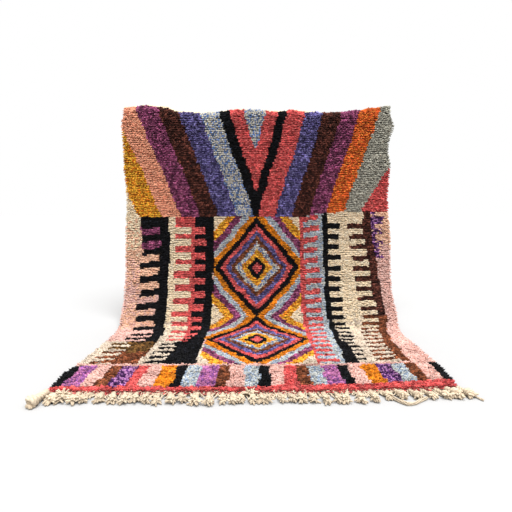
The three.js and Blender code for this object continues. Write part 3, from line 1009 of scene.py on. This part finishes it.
def tie_tassel(tool, place, lean, reach, seed):
    root = (place, float(end_line(place)) + PART_GAP + STRIP_DEPTH - ROOT_BITE)

    def lay(run, aside, height, radius, sides, own_tone, tips, *beside):
        """Yarn by its distance along the tassel, to its side, and above the floor."""
        run, aside, height = np.broadcast_arrays(run, aside, height)
        across = root[0] + np.sin(lean) * run + np.cos(lean) * aside
        forward = root[1] + np.cos(lean) * run - np.sin(lean) * aside
        tool.tube(floor_point(across, forward, height), radius, sides, own_tone, tips, *beside)

    tone = warp_tone * (0.92 + 0.16 * chance(seed, 1, 3))
    plump = 0.88 + 0.3 * chance(seed, 2, 3)
    knot_at = reach * (0.5 + 0.14 * chance(seed, 9, 3))
    if abs(place) > FAT_BEYOND:
        plump = 1.35
    if place < LEFT_CORNER:
        plump = 1.8
        knot_at = 0.8 * reach
    bow = 0.009 * swing(seed, 10, 3)
    # The warps gather from the band
    share = np.linspace(0, 1, 4)
    for warp in range(GATHERED_WARPS):
        spread = (warp - (GATHERED_WARPS - 1) / 2) * 0.0052
        aside = spread * (1 - ease(share)) + bow * 0.3 * share
        lay(-0.005 + share * 0.3 * reach, aside, 0.0052 + 0.0035 * ease(share), 0.0024, 4, tone, 0.7)
    # The strands twist round each other
    turns = 1.3 + 0.6 * chance(seed, 3, 3)
    share = np.linspace(0, 1, 13)
    for strand in range(TWISTED_STRANDS):
        angle = 2 * math.pi * (turns * share + strand / TWISTED_STRANDS) + seed
        run = 0.05 * reach + share * (knot_at - 0.02 * reach)
        coil = 0.0042 * plump * (0.7 + 0.3 * share)
        height = 0.0092 * plump + coil * np.sin(angle)
        radius = 0.0045 * plump * (1 + 0.08 * np.sin(share * 40 + strand))
        shade = np.clip(0.35 + 40 * (height - 0.006), 0.1, 1)
        lay(run, coil * np.cos(angle) + bow * share, height, radius, 6, tone, shade)
    # The knot: a thick strand wound round the bundle, over a round core
    share = np.linspace(0, 1, 5)
    core = 0.0105 * plump * np.sin(math.pi * (0.12 + 0.76 * share)) ** 0.5
    middle = max(0.0128, core.max() + 0.0003)
    # The core gets a darker tone and shade share 0.4: painted shade inside the knot
    lay(knot_at - 0.012 + share * 0.024, bow, middle, core, 7, tone * 0.9, 0.4)
    share = np.linspace(0, 1, 24)
    angle = 2 * math.pi * KNOT_TURNS * share + 3 * seed
    coil = 0.0078 * plump
    run = knot_at - 0.008 * plump + share * 0.014 * plump + 0.004 * np.sin(angle + 0.8)
    radius = 0.0052 * plump * (0.7 + 0.3 * np.sin(math.pi * share))
    height = np.maximum(middle + coil * np.sin(angle), radius + 0.0002)
    shade = np.clip(0.2 + 38 * (height - 0.006), 0.05, 1)
    tassel_way = (math.sin(lean), -math.cos(lean), 0.0)
    lay(run, bow + coil * np.cos(angle), height, radius, 6, tone, shade, tassel_way)
    fray(lay, knot_at + 0.006, bow, (reach - knot_at) * 0.92, plump, tone, seed)


fringe_tool = YarnTool(36)
for number, (place, lean, reach) in enumerate(places):
    tie_tassel(fringe_tool, place, lean, reach, number + 1.0)
fringe = fringe_tool.piece("knotted_fringe")

# %% [markdown]
# Some warps were never caught in a tassel. They stick out along the band as short fluffy ends. Two
# cut bundles burst open just beyond the pile's edge, and one long bundle lies as an open loop near
# the right. They are few, but they are what tells a hand-tied fringe from a bought trim.

# %% Loose yarns between the tassels
LOOSE_ENDS = 340
BACK_SHARE = 0.04
# Place across, place beyond the pile, length, yarns
TUFTS = [(-0.668, 0.044, 0.038, 30), (-0.022, 0.028, 0.034, 20)]
TUFT_TURN = math.radians(150)
# Places across, and beyond the band
LOOP_PATH = [
    (0.449, 0.002), (0.468, 0.034), (0.490, 0.068), (0.512, 0.091), (0.538, 0.084), (0.566, 0.062),
    (0.592, 0.046),
]
CORNER_PATH = [(0.742, 0.012), (0.757, 0.030), (0.768, 0.052), (0.775, 0.066), (0.782, 0.082)]


def loose_ends(tool):
    """Short single ends. A few of them lean back on the pile."""
    share = np.array([0.0, 0.4, 0.75, 1.0])
    for end in range(LOOSE_ENDS):
        place = -0.742 + 1.47 * chance(end, 1, 11) ** 1.35
        back = chance(end, 2, 11) < BACK_SHARE
        reach = (0.011 if back else 0.032) * (0.5 + 0.9 * chance(end, 3, 11))
        lean = 1.5 * (chance(end, 4, 11) - 0.5)
        across = place + reach * share * lean + 0.004 * share ** 2 * (chance(end, 5, 11) - 0.5)
        start = float(end_line(place)) + STRIP_DEPTH * (0.5 if back else 0.9)
        forward = start + reach * share * (-0.6 if back else 0.9)
        lift = 0.011 * chance(end, 6, 11)
        height = (0.010 + 0.4 * lift * ease(share)) if back else (0.007 - 0.004 * share + 0.5 * lift)
        radius = (0.0030 if back else 0.0024) * np.array([1.0, 1.0, 0.95, 0.8])
        tone = warp_tone * (0.94 + 0.2 * chance(end, 7, 11))
        # Painted shade at the root, by the band, growing lighter towards the cut end
        tool.tube(floor_point(across, forward, height), radius, 4, tone, 0.55 + 0.45 * share)


def tufts(tool):
    """Cut bundles that burst open to all sides and back over the band."""
    share = np.linspace(0, 1, 5)
    for number, (place, beyond, length, yarns) in enumerate(TUFTS):
        for yarn in range(yarns):
            turn = TUFT_TURN * swing(yarn, number, 8)
            lift = math.radians(12 + 62 * chance(yarn, number, 9))
            reach = length * (0.55 + 0.5 * chance(yarn, number, 10))
            out = reach * share * math.cos(lift)
            aside = 0.007 * swing(yarn, number, 12)
            across = place + aside + out * math.sin(turn) * (0.6 + 0.5 * share)
            forward = end_line(place) + beyond - out * math.cos(turn)
            height = 0.013 + reach * share * math.sin(lift) - 0.009 * share ** 2
            radius = 0.0032 * (1 - 0.2 * share)
            tone = warp_tone * (0.92 + 0.18 * chance(yarn, number, 13))
            # Painted shade at the root, growing lighter towards the cut end
            tool.tube(floor_point(across, forward, height), radius, 4, tone, 0.5 + 0.5 * share)


def laid_bundle(tool, path, yarns, thickness, seed):
    """A bundle of yarns that lies on the floor along a few places: across, and beyond the band."""
    path = np.array(path)
    at = np.linspace(0, len(path) - 1, 4 * len(path))
    middle, beyond = (np.interp(at, np.arange(len(path)), part) for part in path.T)
    for yarn in range(yarns):
        angle = 2 * math.pi * yarn / yarns + 1.1 * at
        forward = end_line(path[0, 0]) + STRIP_DEPTH + (beyond + 0.001 * drift(at, yarn, seed))
        height = thickness + 0.0032 + thickness * np.sin(angle)
        lines = floor_point(middle + thickness * np.cos(angle), forward, height)
        tool.tube(lines, 0.0027, 5, warp_tone * (0.88 + 0.06 * yarn), 0.8)


loose_tool = YarnTool(16)
loose_ends(loose_tool)
tufts(loose_tool)
laid_bundle(loose_tool, LOOP_PATH, 4, 0.0042, 31)
laid_bundle(loose_tool, CORNER_PATH, 2, 0.0014, 32)
bundles = loose_tool.piece("loose_yarns")
for piece in (woven_end_piece, fringe, bundles):
    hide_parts("end_fringe")

# %% [markdown]
# Shader maths reads best as plain arithmetic. This small class wraps one socket of a node tree, so
# that an expression such as 1 - mask adds its Math node by itself. Colours and vectors have their
# own Mix and Vector Math nodes, because a Math node would turn a colour grey.

# %% A socket that does arithmetic
class Shade:
    def __init__(self, tree, socket=None):
        self.tree = tree
        self.socket = socket

    def node(self, kind, settings, sockets, output=0):
        """Any node: its settings first, then the values or links of its sockets."""
        made = self.tree.nodes.new(kind)
        for name, value in settings.items():
            setattr(made, name, value)
        for name, value in sockets.items():
            if isinstance(value, Shade):
                self.tree.links.new(value.socket, made.inputs[name])
            else:
                made.inputs[name].default_value = value
        return Shade(self.tree, made.outputs[output] if len(made.outputs) else None)

    def arithmetic(self, operation, *values):
        return self.node("ShaderNodeMath", {"operation": operation}, dict(enumerate(values)))

    def __add__(self, other):
        return self.arithmetic("ADD", self, other)

    def __radd__(self, other):
        return self.arithmetic("ADD", other, self)

    def __sub__(self, other):
        return self.arithmetic("SUBTRACT", self, other)

    def __rsub__(self, other):
        return self.arithmetic("SUBTRACT", other, self)

    def __mul__(self, other):
        return self.arithmetic("MULTIPLY", self, other)

    def __rmul__(self, other):
        return self.arithmetic("MULTIPLY", other, self)

    def __truediv__(self, other):
        return self.arithmetic("DIVIDE", self, other)

    def __rtruediv__(self, other):
        return self.arithmetic("DIVIDE", other, self)

    def lit_by(self, strength):
        """A colour made lighter or darker by a value."""
        return self.node("ShaderNodeVectorMath", {"operation": "SCALE"}, {0: self, "Scale": strength})

    def towards(self, other, share):
        """This colour mixed with another."""
        return self.node("ShaderNodeMix", {"data_type": "RGBA"}, {0: share, 6: self, 7: other}, 2)

    def attribute(self, name, output):
        """A colour or a value that the mesh carries at its points."""
        return self.node("ShaderNodeAttribute", {"attribute_name": name}, {}, output)

    def map_parts(self, name):
        """Both directions of one of the mesh's texture maps."""
        place = self.node("ShaderNodeUVMap", {"uv_map": name}, {})
        return [self.node("ShaderNodeSeparateXYZ", {}, {"Vector": place}, part) for part in "XY"]

    def fibres(self, scale):
        """Fine mottling of the wool, from 0 to 1."""
        place = self.node("ShaderNodeTexCoord", {}, {}, "Object")
        return self.node("ShaderNodeTexNoise", {}, {"Vector": place, "Scale": scale, "Detail": 3.0}, "Fac")


def new_finish(name, base, roughness, height, depth, sheen, pieces):
    """A cloth finish from its varying colour, roughness and height, put on its pieces."""
    finish = bpy.data.materials.new(name)
    finish.use_nodes = True
    finish.node_tree.nodes.clear()
    start = Shade(finish.node_tree)
    colour, rough, relief = base(start), roughness(start), height(start)
    normal = start.node("ShaderNodeBump", {}, {"Height": relief, "Distance": depth, "Strength": 0.8})
    surface = start.node(
        "ShaderNodeBsdfPrincipled",
        {},
        {
            "Base Color": colour,
            "Roughness": rough,
            "Normal": normal,
            "Specular IOR Level": 0.12,
            "Sheen Weight": sheen,
            "Sheen Roughness": 0.5,
        },
    )
    start.node("ShaderNodeOutputMaterial", {}, {"Surface": surface})
    for piece in pieces:
        piece.data.materials.append(finish)
    print(name, len(finish.node_tree.nodes), "nodes, on", len(pieces), "pieces")


# %% [markdown]
# Wool yarn isn't one flat tone: fine fibres mottle it and break up its surface. Each end is also
# painted lighter at its open tip and darker down at its knot: a painted highlight and painted shade
# of the deep pile. The yarn's own dye comes from the chart, as an attribute on the mesh.

# %% Finish of the pile
PILE_FIBRES = 620


def ply(start):
    """Height of two plies that twist round each other: 0 in the groove, 1 on the strand."""
    around, along = start.map_parts("ply")
    return 0.5 + 0.5 * start.arithmetic("SINE", 2 * math.pi * (2 * around + along))


def pile_colour(start):
    yarn, tip = start.attribute("yarn", "Color"), start.attribute("tip", "Fac")
    # Painted shade in the grooves between the plies, times a random mottle of the fibres
    groove_shade_and_mottle = (0.82 + 0.22 * ply(start)) * (0.74 + 0.5 * start.fibres(PILE_FIBRES))
    # Painted shade: each end darker towards its knot, by its tip value
    return yarn.lit_by((0.34 + 0.66 * tip) * groove_shade_and_mottle)


new_finish(
    "dyed_wool",
    pile_colour,
    lambda start: 0.98 - 0.14 * start.fibres(PILE_FIBRES),
    lambda start: 0.6 * ply(start) + 0.8 * start.fibres(PILE_FIBRES * 2),
    0.0012,
    0.04,
    pile_pieces,
)

# %% [markdown]
# The back of a knotted rug shows each knot as two small flat bumps of the pile's own yarn, in rows
# with the cream weft between them. The cloth's own map is in metres, so whole numbers of knots come
# from it by simple division, and the bumps follow the cloth round every bend.

# %% Finish of the foundation
KNOT_PITCH = 0.01
BACK_FIBRES = 900


def knot_bumps(start):
    """Height of the knot backs: two to a knot across, and one to a row."""
    column, row = start.map_parts("cloth")
    across, along = (
        start.arithmetic("SINE", math.pi * start.arithmetic("FRACT", place / pitch))
        for place, pitch in ((column, KNOT_PITCH / 2), (row, KNOT_PITCH))
    )
    return across * along


def foundation_colour(start):
    yarn, back = start.attribute("yarn", "Color"), start.attribute("tip", "Fac")
    mottled = yarn.lit_by(0.75 + 0.4 * start.fibres(BACK_FIBRES))
    weft = (*dye("CDBB98"), 1.0)
    edge = start.node(
        "ShaderNodeMapRange", {}, {"Value": knot_bumps(start), "From Min": 0.04, "From Max": 0.22}, "Result"
    )
    # Painted shade under the pile: the top side is painted at half brightness; the weft shows on the back
    return mottled.towards(weft, (1 - edge) * back).lit_by(0.5 + 0.5 * back)


new_finish(
    "knotted_back",
    foundation_colour,
    lambda start: 0.98 - 0.1 * start.fibres(BACK_FIBRES),
    lambda start: knot_bumps(start) + 0.25 * start.fibres(BACK_FIBRES),
    0.0015,
    0.15,
    [foundation],
)

# %% [markdown]
# The warps are undyed wool, with a harder twist than the pile. Down in the folds between them, and low
# by the floor, the finish paints shade: their tone goes towards a dull brown and darker wherever the
# mesh says that a yarn lies deep.

# %% Finish of the warps
WARP_FIBRES = 500


def warp_colour(start):
    yarn, tip = start.attribute("yarn", "Color"), start.attribute("tip", "Fac")
    # Painted shade: where the tip value is low, deep in a fold or low by the floor, the tone goes brown and
    # darker
    painted_shade = yarn.towards((*dye("9A7850"), 1.0), 0.55 * (1 - tip))
    # Painted shade in the grooves between the plies, times a random mottle of the fibres
    groove_shade_and_mottle = (0.8 + 0.24 * ply(start)) * (0.72 + 0.5 * start.fibres(WARP_FIBRES))
    return painted_shade.lit_by((0.68 + 0.32 * tip) * groove_shade_and_mottle)


new_finish(
    "natural_warp",
    warp_colour,
    lambda start: 0.97 - 0.12 * start.fibres(WARP_FIBRES),
    lambda start: 0.7 * ply(start) + 0.7 * start.fibres(BACK_FIBRES),
    0.0016,
    0.1,
    [woven_end_piece, fringe, bundles],
)

# %% [markdown]
# The photograph is a plain product shot: a white floor that runs into a white ground, and soft
# light. One very wide lamp from above and a little in front lights the part on the floor most, and
# the white surroundings fill the hanging face.

# %% Floor, light and camera
FLOOR_REACH = 14
FLOOR_GREY = 0.415
LIGHT_FROM_SIDE = 8
LIGHT_FROM_FRONT = 20
LIGHT_SPREAD = 50
LIGHT_STRENGTH = 5.0
VIEW_DISTANCE = 2.49
VIEW_HEIGHT = 0.693
VIEW_DOWN = 7.68
FOCAL_PIXELS = 430
PHOTO_PIXELS = 512

mesh = bpy.data.meshes.new("studio_floor")
signs = ((-1, -1), (1, -1), (1, 1), (-1, 1))
mesh.from_pydata([(a * FLOOR_REACH, b * FLOOR_REACH, -0.0004) for a, b in signs], [], [(0, 1, 2, 3)])
floor = new_object("studio_floor", mesh)
finish = bpy.data.materials.new("floor_paint")
finish.use_nodes = True
paint = finish.node_tree.nodes["Principled BSDF"]
paint.inputs["Base Color"].default_value = (FLOOR_GREY, FLOOR_GREY, FLOOR_GREY, 1)
paint.inputs["Roughness"].default_value = 0.9
paint.inputs["Specular IOR Level"].default_value = 0.1
mesh.materials.append(finish)

lamp = bpy.data.lights.new("overhead", "SUN")
lamp.angle = math.radians(LIGHT_SPREAD)
lamp.energy = LIGHT_STRENGTH
overhead = new_object("overhead", lamp)
overhead.rotation_euler = (math.radians(LIGHT_FROM_FRONT), math.radians(LIGHT_FROM_SIDE), 0)
world = bpy.data.worlds.new("studio")
world.use_nodes = True
world.node_tree.nodes["Background"].inputs["Color"].default_value = (1, 1, 1, 1)
world.node_tree.nodes["Background"].inputs["Strength"].default_value = 1.0
bpy.context.scene.world = world
bpy.context.scene.view_settings.view_transform = "Standard"

camera_data = bpy.data.cameras.new("photo_view")
camera_data.sensor_width = 36
camera_data.lens = FOCAL_PIXELS / PHOTO_PIXELS * 36
camera = new_object("photo_view", camera_data)
camera.location = (FLOOR_MARK[0], FLOOR_MARK[1] - VIEW_DISTANCE, VIEW_HEIGHT)
camera.rotation_euler = (math.radians(90 - VIEW_DOWN), 0, 0)
bpy.context.scene.camera = camera
print("camera at", [round(value, 3) for value in camera.location], "lens %.2f mm" % camera_data.lens)
